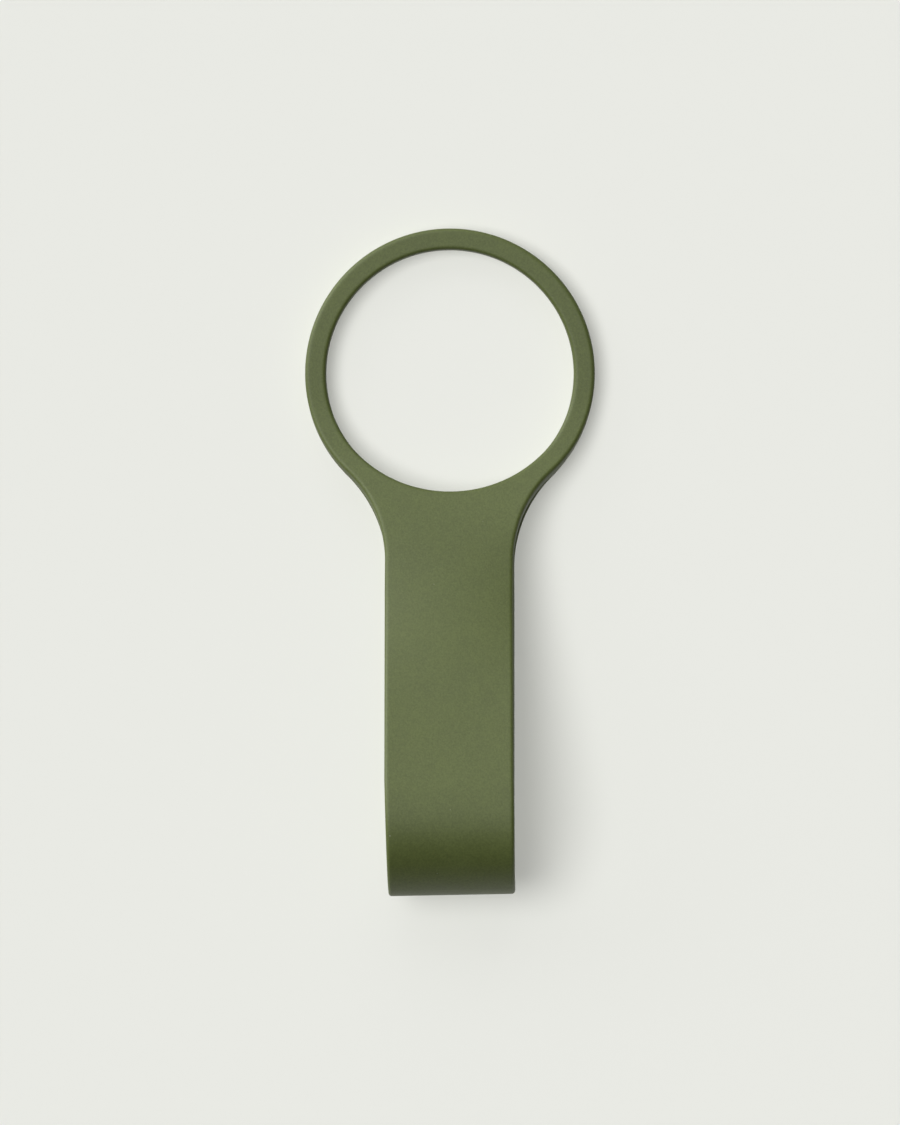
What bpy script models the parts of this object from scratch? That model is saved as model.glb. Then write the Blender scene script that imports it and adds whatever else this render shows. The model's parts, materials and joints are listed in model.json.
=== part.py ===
"""Jar lifter: a moulded silicone strap with a ring at each end, folded over into a carrying loop.

The strap is laid out flat first: v runs along it from the centre of the upper ring, x runs across it
and n through its thickness. It is cut across at its flex lines into sections, whose round knuckles
turn in round sockets, and each section is then bent onto the folded side profile and given its hinge.
Lengths are in metres. The loop points along -Y, the rings lie at +Y and the lower strap rests on z = 0.
"""

import math

import bmesh
import bpy
import numpy as np
from mathutils import Vector

MM = 0.001

# The moulding
THICKNESS = 4.0 * MM
RING_OUTER_RADIUS = 38.6 * MM
RING_INNER_RADIUS = 33.0 * MM
STRAP_HALF_WIDTH = 17.05 * MM
NECK_FILLET_RADIUS = 34.6 * MM
RIM_ROUNDING = 0.95 * MM

# The folded shape, as the slope of the upper strap along its length
LAYER_GAP = 0.3 * MM
LIFT_STATIONS = (
    (5.0 * MM, 0.0),
    (16.0 * MM, 12.0),
    (26.0 * MM, 22.0),
    (35.0 * MM, 22.0),
    (50.0 * MM, 14.0),
    (72.0 * MM, 18.0),
)
LOOP_LENGTH = 72.4 * MM
LOOP_EASING = 0.5
PROFILE_STEP = 0.05 * MM

# The sections and their knuckles
NECK_HINGE = 43.0 * MM
STRAP_SECTIONS = 4
LOOP_SECTIONS = 8
KNUCKLE_EASE = 0.02 * MM
SOCKET_PLAY = 0.3 * MM
KNUCKLE_RADIUS = THICKNESS / 2 - KNUCKLE_EASE
SOCKET_RADIUS = THICKNESS / 2 + SOCKET_PLAY
KNUCKLE_FACETS = 8
PAST_THE_RING = 2 * RING_OUTER_RADIUS

# Mesh fineness
RING_FACETS = 72
FILLET_FACETS = 8
RIM_FACETS = 2
RIM_PROFILE = 0.5
RIM_ANGLE = math.radians(60)
LIFT_SPACING = 3.0 * MM
LOOP_SPACING = 2.2 * MM
MERGE = 0.001 * MM
BEND_SNAP = 0.02 * MM
FLAT_ANGLE = math.radians(0.05)
SHARP_ANGLE = math.radians(35)

OLIVE = (0.100, 0.126, 0.036, 1.0)
SILICONE_ROUGHNESS = 0.5


def clear_scene():
    for obj in list(bpy.data.objects):
        bpy.data.objects.remove(obj, do_unlink=True)


def new_collection(name):
    collection = bpy.data.collections.new(name)
    bpy.context.scene.collection.children.link(collection)
    return collection


def smooth(x):
    return x * x * (3 - 2 * x)


def lift_slope(v):
    """Slope in radians of the upper strap before the loop, eased between the lift stations."""
    arcs, degrees = zip(*LIFT_STATIONS)
    if v <= arcs[0]:
        return 0.0
    for k in range(len(arcs) - 1):
        if v < arcs[k + 1]:
            share = smooth((v - arcs[k]) / (arcs[k + 1] - arcs[k]))
            return math.radians(degrees[k] + (degrees[k + 1] - degrees[k]) * share)
    return math.radians(degrees[-1])


def loop_turn(x):
    """Share of the loop's bend made after share x of its length: part even, part eased at both ends."""
    x = min(max(x, 0.0), 1.0)
    return (1 - LOOP_EASING) * x + LOOP_EASING * smooth(x)


class Profile:
    """The folded centreline seen from the side: y, z and slope for each length v along the strap."""

    def __init__(self):
        strap_slope = math.radians(LIFT_STATIONS[-1][1])
        turn = math.pi + strap_slope
        lift_end = LIFT_STATIONS[-1][0]
        loop_arcs = np.arange(0, LOOP_LENGTH + PROFILE_STEP / 2, PROFILE_STEP)
        loop_slopes = np.array([strap_slope - turn * loop_turn(s / LOOP_LENGTH) for s in loop_arcs])
        lift_arcs = np.arange(0, lift_end + PROFILE_STEP / 2, PROFILE_STEP)
        lift_slopes = np.array([lift_slope(s) for s in lift_arcs])
        fall = THICKNESS + LAYER_GAP
        rise = self.integral(np.sin(lift_slopes)) + self.integral(np.sin(loop_slopes))
        straight = -(fall + rise) / math.sin(strap_slope)
        self.loop_start = lift_end + straight
        self.loop_end = self.loop_start + LOOP_LENGTH
        self.arcs = np.concatenate([lift_arcs, self.loop_start + loop_arcs])
        self.slopes = np.concatenate([lift_slopes, loop_slopes])
        steps = np.diff(self.arcs)
        middle = (self.slopes[1:] + self.slopes[:-1]) / 2
        self.y = np.concatenate([[0.0], np.cumsum(-np.cos(middle) * steps)])
        self.z = np.concatenate([[0.0], np.cumsum(np.sin(middle) * steps)]) + 1.5 * THICKNESS + LAYER_GAP
        self.length = self.loop_end - self.y[-1]
        tip = float(np.min(self.y + np.sin(self.slopes) * THICKNESS / 2))
        self.shift = -(tip + RING_OUTER_RADIUS) / 2

    @staticmethod
    def integral(values):
        return float(np.sum((values[1:] + values[:-1]) / 2) * PROFILE_STEP)

    def slope(self, v):
        if v <= 0:
            return 0.0
        if v >= self.loop_end:
            return -math.pi
        return float(np.interp(v, self.arcs, self.slopes))

    def place(self, x, v, n):
        """Where the point of the flat strap lies once the strap is folded."""
        slope = self.slope(v)
        if v <= 0:
            y, z = -v, self.z[0]
        elif v >= self.loop_end:
            y, z = self.y[-1] + v - self.loop_end, THICKNESS / 2
        else:
            y, z = np.interp(v, self.arcs, self.y), np.interp(v, self.arcs, self.z)
        return Vector((x, y + self.shift + n * math.sin(slope), z + n * math.cos(slope)))


def outline_half(length):
    """Right edge of the flat strap, from the far side of the upper ring to that of the lower ring."""
    reach = RING_OUTER_RADIUS + NECK_FILLET_RADIUS
    side = STRAP_HALF_WIDTH + NECK_FILLET_RADIUS
    neck = math.sqrt(reach**2 - side**2)
    tangent = math.asin(side / reach)
    count = RING_FACETS // 2
    points = []
    for k in range(count + 1):
        turn = math.pi - (math.pi - tangent) * k / count
        points.append((RING_OUTER_RADIUS * math.sin(turn), RING_OUTER_RADIUS * math.cos(turn)))
    for k in range(1, FILLET_FACETS + 1):
        turn = tangent + (math.pi / 2 - tangent) * k / FILLET_FACETS
        points.append((side - NECK_FILLET_RADIUS * math.sin(turn), neck - NECK_FILLET_RADIUS * math.cos(turn)))
    return points + [(x, length - v) for x, v in reversed(points)]


def prism(name, outlines, half_height):
    """A closed mesh of one outline, with any inner ones as holes, extruded both ways along z."""
    curve = bpy.data.curves.new(name, "CURVE")
    curve.dimensions = "2D"
    curve.fill_mode = "BOTH"
    curve.extrude = half_height
    for outline in outlines:
        spline = curve.splines.new("POLY")
        spline.points.add(len(outline) - 1)
        for point, (across, along) in zip(spline.points, outline):
            point.co = (across, along, 0, 1)
        spline.use_cyclic_u = True
    holder = bpy.data.objects.new(name, curve)
    bpy.context.scene.collection.objects.link(holder)
    evaluated = holder.evaluated_get(bpy.context.evaluated_depsgraph_get())
    mesh = bpy.data.meshes.new_from_object(evaluated)
    bpy.data.objects.remove(holder)
    bm = bmesh.new()
    bm.from_mesh(mesh)
    bmesh.ops.remove_doubles(bm, verts=bm.verts, dist=MERGE)
    bmesh.ops.recalc_face_normals(bm, faces=bm.faces)
    bm.to_mesh(mesh)
    bm.free()
    return mesh


def flat_strap(profile):
    """The whole strap laid flat, as a mesh with rounded rims."""
    right = outline_half(profile.length)
    left = [(-x, v) for x, v in reversed(right[1:-1])]
    outlines = [right + left]
    for centre in (0.0, profile.length):
        turns = [2 * math.pi * (k + 0.5) / RING_FACETS for k in range(RING_FACETS)]
        hole = [(RING_INNER_RADIUS * math.sin(a), centre + RING_INNER_RADIUS * math.cos(a)) for a in turns]
        outlines.append(hole)
    mesh = prism("flat_strap", outlines, THICKNESS / 2)
    bm = bmesh.new()
    bm.from_mesh(mesh)
    bmesh.ops.dissolve_limit(bm, angle_limit=FLAT_ANGLE, verts=bm.verts, edges=bm.edges)
    rims = [e for e in bm.edges if len(e.link_faces) == 2 and e.calc_face_angle() > RIM_ANGLE]
    rims = [e for e in rims if abs(e.verts[0].co.z - e.verts[1].co.z) < MERGE]
    bmesh.ops.bevel(
        bm, geom=rims, offset=RIM_ROUNDING, segments=RIM_FACETS, profile=RIM_PROFILE, affect="EDGES"
    )
    bm.to_mesh(mesh)
    bm.free()
    return mesh


def arc(centre_v, radius, first, last):
    """Points of an arc in the plane of v and n, from angle first to angle last."""
    turns = [first + (last - first) * k / KNUCKLE_FACETS for k in range(KNUCKLE_FACETS + 1)]
    return [(centre_v + radius * math.cos(a), radius * math.sin(a)) for a in turns]


def section_cutter(name, start, end, cutters):
    """A prism across the flat strap: a socket or a knuckle at each hinge line, square past a ring's end.

    start and end are (v, kind), where kind is socket, knuckle or free.
    """
    tall = THICKNESS
    points = []
    for (v, kind), side in ((start, -1), (end, 1)):
        out = 0.0 if side > 0 else math.pi
        if kind == "knuckle":
            first, last = out - side * math.pi / 2, out + side * math.pi / 2
            span = arc(v, KNUCKLE_RADIUS, first, last)
            ends = [(v, -tall), *span, (v, tall)]
        elif kind == "socket":
            lip = math.acos(THICKNESS / 2 / SOCKET_RADIUS)
            edge = v - side * SOCKET_RADIUS * math.sin(lip)
            half = math.pi / 2 - lip
            inward = out + math.pi
            span = arc(v, SOCKET_RADIUS, inward + side * half, inward - side * half)
            ends = [(edge, -tall), *span, (edge, tall)]
        else:
            ends = [(v, -tall), (v, tall)]
        points += ends if side > 0 else ends[::-1]
    mesh = prism(name, [points], PAST_THE_RING)
    for vert in mesh.vertices:
        v, n, x = vert.co
        vert.co = (x, v, n)
    cutter = bpy.data.objects.new(name, mesh)
    cutter.hide_render = True
    cutter.display_type = "WIRE"
    cutters.objects.link(cutter)
    return cutter


def bending_stations(profile, low, high):
    """Lengths between low and high where the strap is divided so that it can follow the profile."""
    lift = np.arange(LIFT_STATIONS[0][0], LIFT_STATIONS[-1][0], LIFT_SPACING)
    count = round(LOOP_LENGTH / LOOP_SPACING)
    loop = profile.loop_start + LOOP_LENGTH * np.arange(count + 1) / count
    return [float(v) for v in (*lift, *loop) if low < v < high]


def silicone(name):
    material = bpy.data.materials.new(name)
    material.use_nodes = True
    shader = material.node_tree.nodes["Principled BSDF"]
    shader.inputs["Base Color"].default_value = OLIVE
    shader.inputs["Roughness"].default_value = SILICONE_ROUGHNESS
    shader.inputs["Metallic"].default_value = 0.0
    return material


def section(name, strap_mesh, profile, start, end, hinge_v, parent, parts, cutters):
    """One section of the strap, cut out flat, bent onto the profile, its origin on its hinge line."""
    blank = bpy.data.objects.new(name + "_blank", strap_mesh.copy())
    bpy.context.scene.collection.objects.link(blank)
    cutter = section_cutter(name + "_cut", start, end, cutters)
    boolean = blank.modifiers.new("cut", "BOOLEAN")
    boolean.operation = "INTERSECT"
    boolean.solver = "EXACT"
    boolean.object = cutter
    evaluated = blank.evaluated_get(bpy.context.evaluated_depsgraph_get())
    mesh = bpy.data.meshes.new_from_object(evaluated)
    bpy.data.objects.remove(blank)
    mesh.name = name
    mesh.materials.clear()
    mesh.materials.append(silicone(name))
    hinge = profile.place(0, hinge_v, 0)
    bm = bmesh.new()
    bm.from_mesh(mesh)
    bmesh.ops.remove_doubles(bm, verts=bm.verts, dist=MERGE)
    lengths = [vert.co.y for vert in bm.verts]
    for v in bending_stations(profile, min(lengths), max(lengths)):
        everything = bm.verts[:] + bm.edges[:] + bm.faces[:]
        bmesh.ops.bisect_plane(bm, geom=everything, plane_co=(0, v, 0), plane_no=(0, 1, 0), dist=BEND_SNAP)
    bmesh.ops.triangulate(bm, faces=[face for face in bm.faces if len(face.verts) > 4])
    for vert in bm.verts:
        vert.co = profile.place(*vert.co) - hinge
    # v runs against y, so the bend mirrors the mesh and its faces are turned back.
    bmesh.ops.reverse_faces(bm, faces=bm.faces)
    bm.to_mesh(mesh)
    bm.free()
    mesh.shade_smooth()
    mesh.set_sharp_from_angle(angle=SHARP_ANGLE)
    piece = bpy.data.objects.new(name, mesh)
    piece.location = hinge
    if parent is not None:
        piece.parent = parent
        piece.location = hinge - profile.place(0, parent["hinge_v"], 0)
    piece["hinge_v"] = hinge_v
    parts.objects.link(piece)
    return piece


def even_cuts(low, high, count):
    return [low + (high - low) * k / count for k in range(count + 1)]


def build_lifter():
    clear_scene()
    parts = new_collection("jar_lifter")
    cutters = new_collection("cutters")
    profile = Profile()
    strap = flat_strap(profile)
    upper = even_cuts(NECK_HINGE, profile.loop_start, STRAP_SECTIONS)
    loop = even_cuts(profile.loop_start, profile.loop_end, LOOP_SECTIONS)
    lower = even_cuts(profile.loop_end, profile.length - NECK_HINGE, STRAP_SECTIONS)

    # The section of the lower strap next to the loop holds the rest, in two chains.
    root = section("lower_strap_1", strap, profile, (lower[0], "knuckle"), (lower[1], "knuckle"),
                   (lower[0] + lower[1]) / 2, None, parts, cutters)
    piece = root
    for k in range(1, STRAP_SECTIONS):
        piece = section(f"lower_strap_{k + 1}", strap, profile, (lower[k], "socket"), (lower[k + 1], "knuckle"),
                        lower[k], piece, parts, cutters)
    section("lower_ring", strap, profile, (lower[-1], "socket"), (profile.length + PAST_THE_RING, "free"),
            lower[-1], piece, parts, cutters)
    piece = root
    for k in range(LOOP_SECTIONS, 0, -1):
        piece = section(f"loop_{LOOP_SECTIONS + 1 - k}", strap, profile, (loop[k - 1], "knuckle"),
                        (loop[k], "socket"), loop[k], piece, parts, cutters)
    for k in range(STRAP_SECTIONS, 0, -1):
        piece = section(f"upper_strap_{STRAP_SECTIONS + 1 - k}", strap, profile, (upper[k - 1], "knuckle"),
                        (upper[k], "socket"), upper[k], piece, parts, cutters)
    section("upper_ring", strap, profile, (-PAST_THE_RING, "free"), (upper[0], "socket"),
            upper[0], piece, parts, cutters)


build_lifter()
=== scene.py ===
import json
import math

import bmesh
import bpy
import numpy as np
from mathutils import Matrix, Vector

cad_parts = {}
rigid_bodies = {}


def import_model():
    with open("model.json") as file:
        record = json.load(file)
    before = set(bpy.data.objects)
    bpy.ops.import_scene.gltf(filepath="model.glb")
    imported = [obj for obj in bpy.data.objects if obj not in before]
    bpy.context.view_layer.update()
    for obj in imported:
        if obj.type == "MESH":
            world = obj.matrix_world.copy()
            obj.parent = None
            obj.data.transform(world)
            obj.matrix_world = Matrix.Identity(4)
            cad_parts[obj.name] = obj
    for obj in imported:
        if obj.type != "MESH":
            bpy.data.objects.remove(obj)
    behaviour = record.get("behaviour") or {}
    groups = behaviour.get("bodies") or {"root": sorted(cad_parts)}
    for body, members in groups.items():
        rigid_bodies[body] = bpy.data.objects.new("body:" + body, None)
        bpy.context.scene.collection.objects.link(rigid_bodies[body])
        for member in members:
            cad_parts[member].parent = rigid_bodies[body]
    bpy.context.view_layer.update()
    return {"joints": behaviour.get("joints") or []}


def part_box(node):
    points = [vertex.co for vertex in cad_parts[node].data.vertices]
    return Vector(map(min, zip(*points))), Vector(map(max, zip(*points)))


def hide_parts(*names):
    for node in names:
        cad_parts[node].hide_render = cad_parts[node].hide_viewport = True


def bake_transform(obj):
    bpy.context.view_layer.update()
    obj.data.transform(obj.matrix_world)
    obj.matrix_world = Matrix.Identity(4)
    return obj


# A jar lifter: one moulded silicone strap with a ring at each end, folded over into a carrying
# loop.
#
# The strap is first laid out flat. There v is the length along it, from the centre of the upper
# ring towards the lower ring, x runs across it and n through its thickness. It is rounded,
# divided, cut into one piece for each bend and then folded onto its side profile. Lengths are in
# metres.

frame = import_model()

MM = 0.001

# The moulding: what the frame gives, and what it doesn't
STRAP_LOW, STRAP_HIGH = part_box("lower_strap_2")
RING_LOW, RING_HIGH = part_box("lower_ring")
UPPER_RING_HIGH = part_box("upper_ring")[1]
THICKNESS = STRAP_HIGH[2] - STRAP_LOW[2]
STRAP_HALF_WIDTH = (STRAP_HIGH[0] - STRAP_LOW[0]) / 2
RING_OUTER_RADIUS = (RING_HIGH[0] - RING_LOW[0]) / 2
RING_CENTRE_Y = UPPER_RING_HIGH[1] - RING_OUTER_RADIUS
RING_INNER_RADIUS = 33.0 * MM
NECK_FILLET_RADIUS = 34.6 * MM
RIM_ROUNDING = 0.95 * MM

# The folded shape: slope in degrees of the upper strap at lengths v, then the loop
LAYER_GAP = 0.3 * MM
LIFT_STATIONS = (
    (5.0 * MM, 0.0),
    (16.0 * MM, 12.0),
    (26.0 * MM, 22.0),
    (35.0 * MM, 22.0),
    (50.0 * MM, 14.0),
    (72.0 * MM, 18.0),
)
LOOP_LENGTH = 72.4 * MM
LOOP_EASING = 0.5
PROFILE_STEP = 0.05 * MM

# How the soft strap lies out of true: its crown, its drift to the right and the lean of its loop
CROWN_RISE = 1.3 * MM
CROWN_AT = (35.0 * MM, 65.0 * MM, 95.0 * MM)
STRAP_DRIFT = -0.25 * MM
LOOP_DRIFT = 0.5 * MM
LOWER_DRIFT = 0.15 * MM
DRIFT_FROM = 20.0 * MM
DRIFT_WHOLE = 60.0 * MM
LOOP_LEAN = 0.019
LOOP_NARROWING = 0.016

# Fineness of the surface
RING_SIDES = 288
RIM_SEGMENTS = 4
RIM_SUPPORT = 0.4 * MM
RIM_ANGLE = math.radians(60)
RIM_PROFILE = 0.5
FLAT_NORMAL = 0.9999
ROW_SPACING = 1.1 * MM
ROW_CLEARANCE = 0.36 * MM
SEAM_MARGIN = 0.12 * MM
SMOOTH_ANGLE = math.radians(40)
MERGE = 0.001 * MM


def smooth(x):
    """Eases a share from 0 to 1."""
    return x * x * (3 - 2 * x)


# The folded side profile


def lift_slope(v):
    """Slope in radians of the upper strap before the loop, eased between the lift stations."""
    arcs, degrees = zip(*LIFT_STATIONS)
    if v <= arcs[0]:
        return 0.0
    for k in range(len(arcs) - 1):
        if v < arcs[k + 1]:
            share = smooth((v - arcs[k]) / (arcs[k + 1] - arcs[k]))
            return math.radians(degrees[k] + (degrees[k + 1] - degrees[k]) * share)
    return math.radians(degrees[-1])


def loop_turn(x):
    """Share of the loop's bend made after share x of its length: part even, part eased."""
    return (1 - LOOP_EASING) * x + LOOP_EASING * smooth(x)


def running_sum(values):
    """Integral of the values along the profile, up to each of them."""
    return np.concatenate([[0.0], np.cumsum((values[1:] + values[:-1]) / 2) * PROFILE_STEP])


class Fold:
    """The folded centreline seen from the side: y, z and slope for each length v.

    The strap is straight between its lift and its loop, as far as it takes for the loop to end
    on the table.
    """

    def __init__(self):
        strap_slope = math.radians(LIFT_STATIONS[-1][1])
        lift_arcs = np.arange(0, LIFT_STATIONS[-1][0] + PROFILE_STEP / 2, PROFILE_STEP)
        loop_arcs = np.arange(0, LOOP_LENGTH + PROFILE_STEP / 2, PROFILE_STEP)
        lift = np.array([lift_slope(v) for v in lift_arcs])
        turns = loop_turn(loop_arcs / loop_arcs[-1])
        loop = strap_slope - (math.pi + strap_slope) * turns
        rise = running_sum(np.sin(lift))[-1] + running_sum(np.sin(loop))[-1]
        straight = -(THICKNESS + LAYER_GAP + rise) / math.sin(strap_slope)
        between = np.full(round(straight / PROFILE_STEP) - 1, strap_slope)
        self.slopes = np.concatenate([lift, between, loop])
        self.arcs = np.arange(len(self.slopes)) * PROFILE_STEP
        self.y = RING_CENTRE_Y - running_sum(np.cos(self.slopes))
        upper_layer = 1.5 * THICKNESS + LAYER_GAP
        self.z = upper_layer + running_sum(np.sin(self.slopes))
        self.loop_start = self.arcs[len(lift) + len(between)]
        self.loop_end = self.arcs[-1]
        self.loop_middle = (self.loop_start + self.loop_end) / 2
        self.length = self.loop_end + RING_CENTRE_Y - self.y[-1]

    def crown(self, x, v):
        """How far the strap's crowned cross-section stands out of the flat."""
        share = smooth(np.interp(v, CROWN_AT, (0.0, 1.0, 0.0)))
        across = np.minimum(np.abs(x) / STRAP_HALF_WIDTH, 1.0)
        return CROWN_RISE * share * (1 / 3 - across**2)

    def drift(self, v):
        """How far the strap lies to the right of the rings."""
        stations = (
            (DRIFT_FROM, 0.0),
            (DRIFT_WHOLE, STRAP_DRIFT),
            (self.loop_start, STRAP_DRIFT),
            (self.loop_middle, LOOP_DRIFT),
            (self.loop_end, LOWER_DRIFT),
            (self.length - DRIFT_WHOLE, LOWER_DRIFT),
            (self.length - DRIFT_FROM, 0.0),
        )
        return np.interp(v, *zip(*stations))

    def bent(self, v):
        """1 at the middle of the loop, 0 before and after it."""
        loop = (self.loop_start, self.loop_middle, self.loop_end)
        return smooth(np.interp(v, loop, (0.0, 1.0, 0.0)))

    def place(self, x, v, n):
        """Where points of the flat strap lie once it is folded, as an array of x, y and z."""
        n = n + self.crown(x, v)
        slope = np.interp(v, self.arcs, self.slopes)
        before = np.minimum(v, 0.0)
        after = np.maximum(v - self.loop_end, 0.0)
        y = np.interp(v, self.arcs, self.y) - before + after
        z = np.interp(v, self.arcs, self.z)
        sideways = x * (1 - LOOP_NARROWING * self.bent(v)) + self.drift(v)
        endways = y + n * np.sin(slope) + LOOP_LEAN * x * self.bent(v)
        return np.stack([sideways, endways, z + n * np.cos(slope)], axis=1)

    def point(self, v):
        """The point of the centreline at length v."""
        return Vector(self.place(np.zeros(1), np.array([v]), np.zeros(1))[0])

    def length_at(self, point):
        """Length along the strap at which the centreline passes a point."""
        arcs = np.arange(0, self.length, PROFILE_STEP)
        line = self.place(np.zeros_like(arcs), arcs, np.zeros_like(arcs))
        return float(arcs[np.argmin(np.linalg.norm(line - np.array(point), axis=1))])


# The flat strap


def edit(piece):
    """Opens one object in edit mode, everything in it selected."""
    bpy.ops.object.select_all(action="DESELECT")
    piece.select_set(True)
    bpy.context.view_layer.objects.active = piece
    bpy.ops.object.mode_set(mode="EDIT")
    bpy.ops.mesh.select_all(action="SELECT")


def leave_edit():
    """Back to object mode, with the mesh as edited."""
    bpy.ops.object.mode_set(mode="OBJECT")


def choose(piece, kind, wanted):
    """Selects the faces or edges of the piece in edit mode for which wanted is true."""
    bpy.ops.mesh.select_all(action="DESELECT")
    bpy.ops.mesh.select_mode(type=kind)
    mesh = bmesh.from_edit_mesh(piece.data)
    mesh.normal_update()
    for element in mesh.faces if kind == "FACE" else mesh.edges:
        if wanted(element):
            element.select_set(True)
    bmesh.update_edit_mesh(piece.data)


def is_rim(edge):
    """An edge between a flat face and a side wall."""
    level = abs(edge.verts[0].co.z - edge.verts[1].co.z) < MERGE
    return level and len(edge.link_faces) == 2 and edge.calc_face_angle() > RIM_ANGLE


def is_flat_face(face):
    """The top or the underside of the flat strap."""
    return abs(face.normal.z) > FLAT_NORMAL


def start_line(y):
    """Puts the first point of a line into the open mesh, on the strap's centre line."""
    bpy.ops.mesh.select_all(action="DESELECT")
    bpy.ops.mesh.primitive_plane_add(size=RIM_ROUNDING, location=(0, y, -THICKNESS / 2))
    bpy.ops.mesh.merge(type="CENTER")


def run_down(distance):
    """Draws the line straight on, along the strap."""
    bpy.ops.mesh.extrude_region_move(TRANSFORM_OT_translate={"value": (0, -distance, 0)})


def sweep(x, y, turn, steps):
    """Draws the line on in an arc round a point, anticlockwise where turn is positive."""
    centre = (x, y, -THICKNESS / 2)
    bpy.ops.mesh.spin(steps=steps, angle=-turn, center=centre, axis=(0, 0, 1), dupli=False)


def draw_right_half(length):
    """The right half of the flat strap, one row of faces from its outer edge to its middle."""
    reach = RING_OUTER_RADIUS + NECK_FILLET_RADIUS
    side = STRAP_HALF_WIDTH + NECK_FILLET_RADIUS
    neck = math.sqrt(reach**2 - side**2)
    tangent = math.asin(side / reach)
    far, fillet = math.pi - tangent, math.pi / 2 - tangent
    far_steps = round(RING_SIDES * far / (2 * math.pi))
    near_steps = round(RING_SIDES * tangent / (2 * math.pi))
    bpy.ops.object.select_all(action="DESELECT")
    bpy.ops.mesh.primitive_plane_add(size=RIM_ROUNDING)
    strap = bpy.context.object
    edit(strap)
    bpy.ops.mesh.delete(type="VERT")
    start_line(RING_OUTER_RADIUS)
    sweep(0, 0, -far, far_steps)
    sweep(side, -neck, fillet, near_steps)
    run_down(length - 2 * neck)
    sweep(side, neck - length, fillet, near_steps)
    sweep(0, -length, -far, far_steps)
    start_line(RING_INNER_RADIUS)
    sweep(0, 0, -far, far_steps)
    sweep(0, 0, -tangent, near_steps)
    run_down(length - 2 * RING_INNER_RADIUS)
    sweep(0, -length, -tangent, near_steps)
    sweep(0, -length, -far, far_steps)
    bpy.ops.mesh.select_all(action="SELECT")
    bpy.ops.mesh.bridge_edge_loops()
    leave_edit()
    return strap


def lay_out_strap(fold, seams):
    """The whole strap flat and closed, with rounded rims and the rows that let it bend."""
    strap = draw_right_half(fold.length)
    mirror = strap.modifiers.new("other_half", "MIRROR")
    mirror.merge_threshold = MERGE
    bpy.ops.object.modifier_apply(modifier=mirror.name)
    edit(strap)
    bpy.ops.mesh.extrude_region_move(TRANSFORM_OT_translate={"value": (0, 0, THICKNESS)})
    bpy.ops.mesh.select_all(action="SELECT")
    bpy.ops.mesh.normals_make_consistent(inside=False)
    choose(strap, "EDGE", is_rim)
    bpy.ops.mesh.bevel(
        offset=RIM_ROUNDING,
        segments=RIM_SEGMENTS,
        profile=RIM_PROFILE,
        affect="EDGES",
    )
    choose(strap, "FACE", is_flat_face)
    bpy.ops.mesh.inset(thickness=RIM_SUPPORT)
    for v in rows(fold, seams):
        bpy.ops.mesh.select_all(action="SELECT")
        bpy.ops.mesh.bisect(plane_co=(0, -v, 0), plane_no=(0, 1, 0))
    leave_edit()
    return strap


def rows(fold, seams):
    """Lengths at which the strap is divided so that it can bend, evenly and beside each seam."""
    first = LIFT_STATIONS[0][0]
    last = fold.length - RING_OUTER_RADIUS
    even = np.linspace(first, last, round((last - first) / ROW_SPACING) + 1)
    close = [v + side * SEAM_MARGIN for v in seams for side in (-1, 1)]
    apart = [v for v in even if all(abs(v - seam) > ROW_CLEARANCE for seam in seams)]
    return sorted(float(v) for v in (*apart, *close))


def trim(piece, v, keep_above):
    """Cuts the flat piece across at v, keeps one side of it and closes the cut."""
    bpy.ops.mesh.select_all(action="SELECT")
    bpy.ops.mesh.bisect(
        plane_co=(0, -v, 0),
        plane_no=(0, -1, 0),
        use_fill=True,
        clear_inner=keep_above,
        clear_outer=not keep_above,
    )


def cut_piece(strap, name, start, end):
    """A closed copy of the flat strap between two lengths; None is the free end of the strap."""
    piece = bpy.data.objects.new(name, strap.data.copy())
    piece.data.name = name
    bpy.context.scene.collection.objects.link(piece)
    edit(piece)
    if start is not None:
        trim(piece, start, True)
    if end is not None:
        trim(piece, end, False)
    leave_edit()
    return piece


def fold_piece(piece, fold):
    """Bends a flat piece onto the side profile, and keeps its flat place for the pattern."""
    mesh = piece.data
    flat = np.empty(3 * len(mesh.vertices), np.float32)
    mesh.vertices.foreach_get("co", flat)
    pattern = mesh.attributes.new("flat", "FLOAT_VECTOR", "POINT")
    pattern.data.foreach_set("vector", flat)
    x, along, n = flat.reshape(-1, 3).astype(float).T
    mesh.vertices.foreach_set("co", fold.place(x, -along, n).astype(np.float32).ravel())
    mesh.update()
    bpy.ops.object.select_all(action="DESELECT")
    piece.select_set(True)
    bpy.context.view_layer.objects.active = piece
    bpy.ops.object.shade_smooth_by_angle(angle=SMOOTH_ANGLE)


# Silicone


class Wire:
    """A socket in a shader, on which sums and products of numbers add their own Math nodes."""

    def __init__(self, paint, socket):
        self.paint = paint
        self.socket = socket

    def _math(self, operation, first, second):
        return self.paint.add("ShaderNodeMath", {"operation": operation}, {0: first, 1: second})

    def __add__(self, other):
        return self._math("ADD", self, other)

    def __radd__(self, other):
        return self._math("ADD", other, self)

    def __sub__(self, other):
        return self._math("SUBTRACT", self, other)

    def __rsub__(self, other):
        return self._math("SUBTRACT", other, self)

    def __mul__(self, other):
        return self._math("MULTIPLY", self, other)

    def __rmul__(self, other):
        return self._math("MULTIPLY", other, self)

    def __lt__(self, other):
        return self._math("LESS_THAN", self, other)


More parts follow.
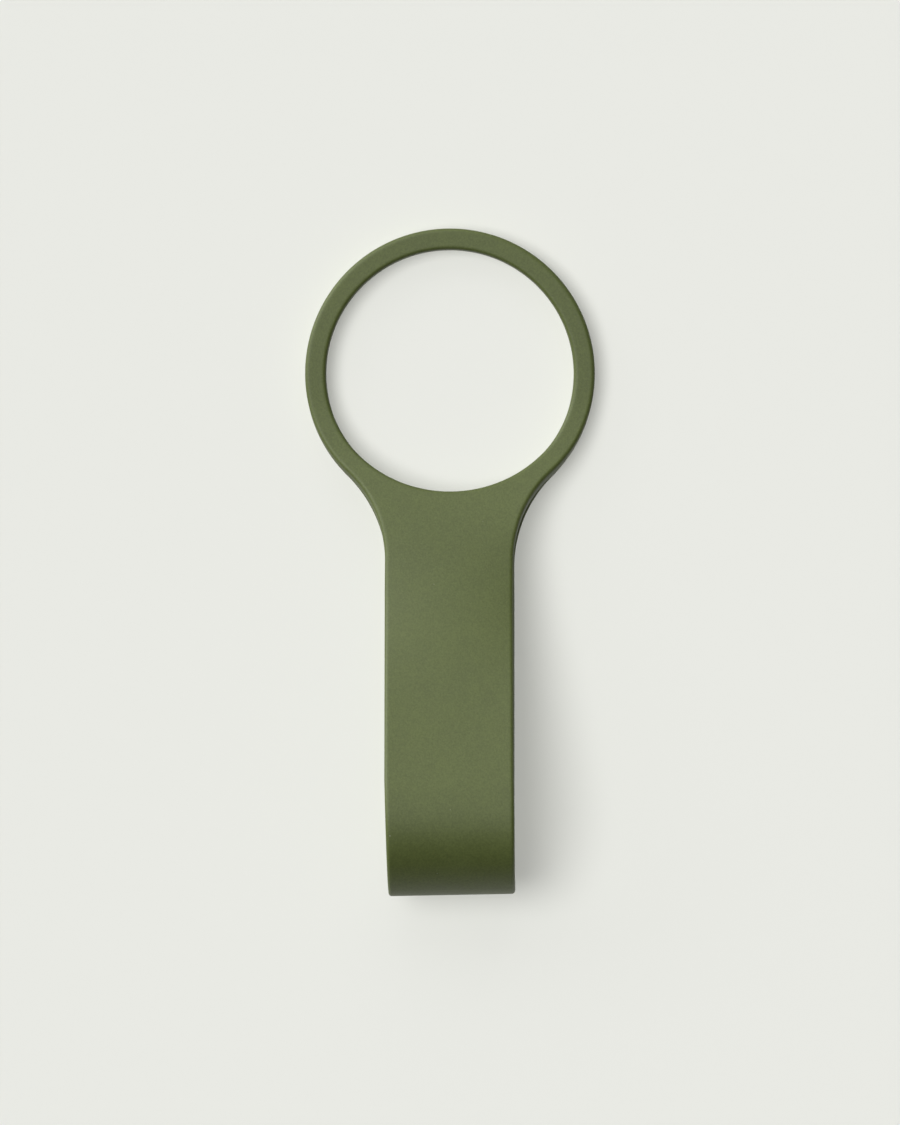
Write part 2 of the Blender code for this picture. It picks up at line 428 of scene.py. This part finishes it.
class Paint:
    """The nodes of a material or of the world."""

    def __init__(self, owner):
        owner.use_nodes = True
        self.nodes = owner.node_tree.nodes
        self.links = owner.node_tree.links

    def add(self, kind, settings=None, sockets=None, output=0):
        """Adds a node with its settings and sockets, and returns one of its outputs."""
        node = self.nodes.new(kind)
        for name, value in (settings or {}).items():
            setattr(node, name, value)
        self.fill(node, sockets or {})
        return Wire(self, node.outputs[output])

    def fill(self, node, sockets):
        """Sets a node's sockets to values, or links them."""
        for name, value in sockets.items():
            if isinstance(value, Wire):
                self.links.new(value.socket, node.inputs[name])
            else:
                node.inputs[name].default_value = value

    def noise(self, place, size, detail=2.0, roughness=0.5):
        """Noise from 0 to 1 whose patches are about size across."""
        sockets = {"Vector": place, "Scale": 1 / size, "Detail": detail, "Roughness": roughness}
        return self.add("ShaderNodeTexNoise", None, sockets)

    def between(self, value, low, high):
        """0 below low and 1 above high, eased in between."""
        sockets = {"Value": value, "From Min": low, "From Max": high}
        return self.add("ShaderNodeMapRange", {"interpolation_type": "SMOOTHSTEP"}, sockets)

    def blend(self, share, first, second):
        """A colour between two others."""
        sockets = {"Factor": share, "A": first, "B": second}
        return self.add("ShaderNodeMix", {"data_type": "RGBA"}, sockets, "Result")


OLIVE_DEEP = (0.057, 0.073, 0.016, 1.0)
OLIVE_LIGHT = (0.083, 0.106, 0.026, 1.0)
MOTTLE_TONE = 0.17
CLOUD_TONE = 0.13
GRAIN_TONE = 0.70
TONE_LOW = 0.30
TONE_HIGH = 0.70
DUST = (0.26, 0.27, 0.20, 1.0)
DUST_COVER = 0.6
GRAIN_SIZE = 0.45 * MM
PORE_SIZE = 1.3 * MM
MOTTLE_SIZE = 7.0 * MM
CLOUD_SIZE = 34.0 * MM
DUST_SPACING = 4.2 * MM
DUST_RADIUS = 0.14 * MM
DUST_SHARE = 0.30
SMALLEST_DUST = 0.5
PARTING_HALF_WIDTH = 0.11 * MM
PARTING_CREST = 0.2

# Heights of the relief, in millimetres
GRAIN_HEIGHT = 0.040
PORE_HEIGHT = 0.016
PARTING_HEIGHT = 0.03
DUST_HEIGHT = 0.03

ROUGHNESS = 0.48
ROUGHNESS_RANGE = 0.10
SPECULAR = 0.42


def silicone():
    """Matt moulded silicone: grain, faint mottling, specks of dust and the parting line."""
    material = bpy.data.materials.new("olive_silicone")
    paint = Paint(material)
    flat = paint.add("ShaderNodeAttribute", {"attribute_name": "flat"}, output="Vector")
    grain = paint.noise(flat, GRAIN_SIZE, detail=3.0, roughness=0.6)
    pores = paint.noise(flat, PORE_SIZE)
    mottle = paint.noise(flat, MOTTLE_SIZE, detail=4.0, roughness=0.6)
    cloud = paint.noise(flat, CLOUD_SIZE)
    tone = MOTTLE_TONE * mottle + CLOUD_TONE * cloud + GRAIN_TONE * grain
    olive = paint.blend(paint.between(tone, TONE_LOW, TONE_HIGH), OLIVE_DEEP, OLIVE_LIGHT)

    through = paint.add("ShaderNodeSeparateXYZ", None, {"Vector": flat}, "Z")
    depth = paint.add("ShaderNodeMath", {"operation": "ABSOLUTE"}, {0: through})
    crest = PARTING_CREST * PARTING_HALF_WIDTH
    parting = 1 - paint.between(depth, crest, PARTING_HALF_WIDTH)

    cells = {"Vector": flat, "Scale": 1 / DUST_SPACING}
    near = paint.add("ShaderNodeTexVoronoi", None, cells, "Distance")
    draw = paint.add("ShaderNodeTexVoronoi", None, cells, "Color")
    lot = paint.add("ShaderNodeSeparateColor", None, {"Color": draw}, "Red")
    larger = paint.add("ShaderNodeSeparateColor", None, {"Color": draw}, "Green")
    radius = (SMALLEST_DUST + larger) * (DUST_RADIUS / DUST_SPACING)
    specks = (near < radius) * (lot < DUST_SHARE)

    skin = GRAIN_HEIGHT * grain + PORE_HEIGHT * pores
    height = skin + PARTING_HEIGHT * parting + DUST_HEIGHT * specks
    relief = {"Height": height, "Distance": MM, "Strength": 1.0}
    sockets = {
        "Base Color": paint.blend(DUST_COVER * specks, olive, DUST),
        "Roughness": ROUGHNESS + ROUGHNESS_RANGE * mottle + ROUGHNESS_RANGE * specks,
        "Normal": paint.add("ShaderNodeBump", None, relief, "Normal"),
        "Specular IOR Level": SPECULAR,
    }
    paint.fill(paint.nodes["Principled BSDF"], sockets)
    return material


# The lifter


def strap_bends(fold):
    """The hinges from the upper ring on: their length v and the sections before and after."""
    bends = []
    for joint in frame["joints"]:
        before, after = joint["parent"], joint["child"]
        if not joint["name"].startswith("lower"):
            before, after = after, before
        bends.append({"v": fold.length_at(joint["pos_m"]), "before": before, "after": after})
    return sorted(bends, key=lambda bend: bend["v"])


def make_lifter():
    """One piece for each bend, cut halfway between one bend and the next."""
    fold = Fold()
    bends = strap_bends(fold)
    seams = [(a["v"] + b["v"]) / 2 for a, b in zip(bends, bends[1:])]
    strap = lay_out_strap(fold, seams)
    finish = silicone()
    for bend, start, end in zip(bends, [None, *seams], [*seams, None]):
        v, before, after = bend["v"], bend["before"], bend["after"]
        piece = cut_piece(strap, "bend_" + before + "-" + after, start, end)
        fold_piece(piece, fold)
        piece.data.materials.append(finish)
        reach = min(abs(cut - v) for cut in (start, end) if cut is not None) - 2 * SEAM_MARGIN
        fold.point(v - reach)
        fold.point(v + reach)
        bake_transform(piece)
        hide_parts(before, after)
    bpy.data.objects.remove(strap)


# Studio

FLOOR_COLOUR = (0.72, 0.726, 0.686, 1.0)
BACKDROP_COLOUR = (0.81, 0.815, 0.77, 1.0)
BACKDROP_GLOW = 0.01
FLOOR_SIZE = 6.0
FLOOR_DROP = 0.05 * MM
FLOOR_ROUGHNESS = 0.9
FLOOR_SPECULAR = 0.1
CAMERA_HEIGHT = 2.5
CAMERA_CENTRE = (0.0, -0.45 * MM)
VIEW_HEIGHT = 300.5 * MM
SENSOR = 36.0

# Name, azimuth anticlockwise from +X, elevation and breadth in degrees, strength, casts a shadow
LAMPS = (
    ("key", 175, 71, 32, 1.675, True),
    ("fill", 102, 40, 50, 1.415, False),
    ("side", 150, 20, 40, 3.0, False),
)


def point_at(obj, target):
    """Turns a lamp or camera so that it looks at a point."""
    obj.rotation_euler = (Vector(target) - obj.location).to_track_quat("-Z", "Y").to_euler()


def lamp(name, azimuth, elevation, breadth, strength, shadow):
    """A broad, far studio light."""
    light = bpy.data.lights.new(name, "SUN")
    light.angle = math.radians(breadth)
    light.energy = strength
    light.use_shadow = shadow
    holder = bpy.data.objects.new(name, light)
    bpy.context.scene.collection.objects.link(holder)
    turn, rise = math.radians(azimuth), math.radians(elevation)
    out = math.cos(rise)
    holder.location = (out * math.cos(turn), out * math.sin(turn), math.sin(rise))
    point_at(holder, (0, 0, 0))


def make_floor():
    """The pale surface that the lifter lies on."""
    bpy.ops.object.select_all(action="DESELECT")
    bpy.ops.mesh.primitive_plane_add(size=FLOOR_SIZE, location=(0, 0, -FLOOR_DROP))
    floor = bpy.context.object
    floor.name = "floor"
    paper = bpy.data.materials.new("pale_paper")
    paint = Paint(paper)
    sockets = {
        "Base Color": FLOOR_COLOUR,
        "Roughness": FLOOR_ROUGHNESS,
        "Specular IOR Level": FLOOR_SPECULAR,
    }
    paint.fill(paint.nodes["Principled BSDF"], sockets)
    floor.data.materials.append(paper)


def make_backdrop():
    """A pale backdrop for the camera, which lights the lifter only faintly."""
    world = bpy.data.worlds.new("backdrop")
    bpy.context.scene.world = world
    paint = Paint(world)
    seen = paint.add("ShaderNodeLightPath", output="Is Camera Ray")
    strength = BACKDROP_GLOW + (1 - BACKDROP_GLOW) * seen
    paint.fill(paint.nodes["Background"], {"Color": BACKDROP_COLOUR, "Strength": strength})


def make_camera():
    """Looks straight down from far above."""
    data = bpy.data.cameras.new("camera")
    data.sensor_width = SENSOR
    data.lens = SENSOR * CAMERA_HEIGHT / VIEW_HEIGHT
    camera = bpy.data.objects.new("camera", data)
    camera.location = (*CAMERA_CENTRE, CAMERA_HEIGHT)
    bpy.context.scene.collection.objects.link(camera)
    bpy.context.scene.camera = camera


make_lifter()
make_floor()
make_backdrop()
make_camera()
for settings in LAMPS:
    lamp(*settings)
bpy.context.scene.view_settings.view_transform = "Standard"
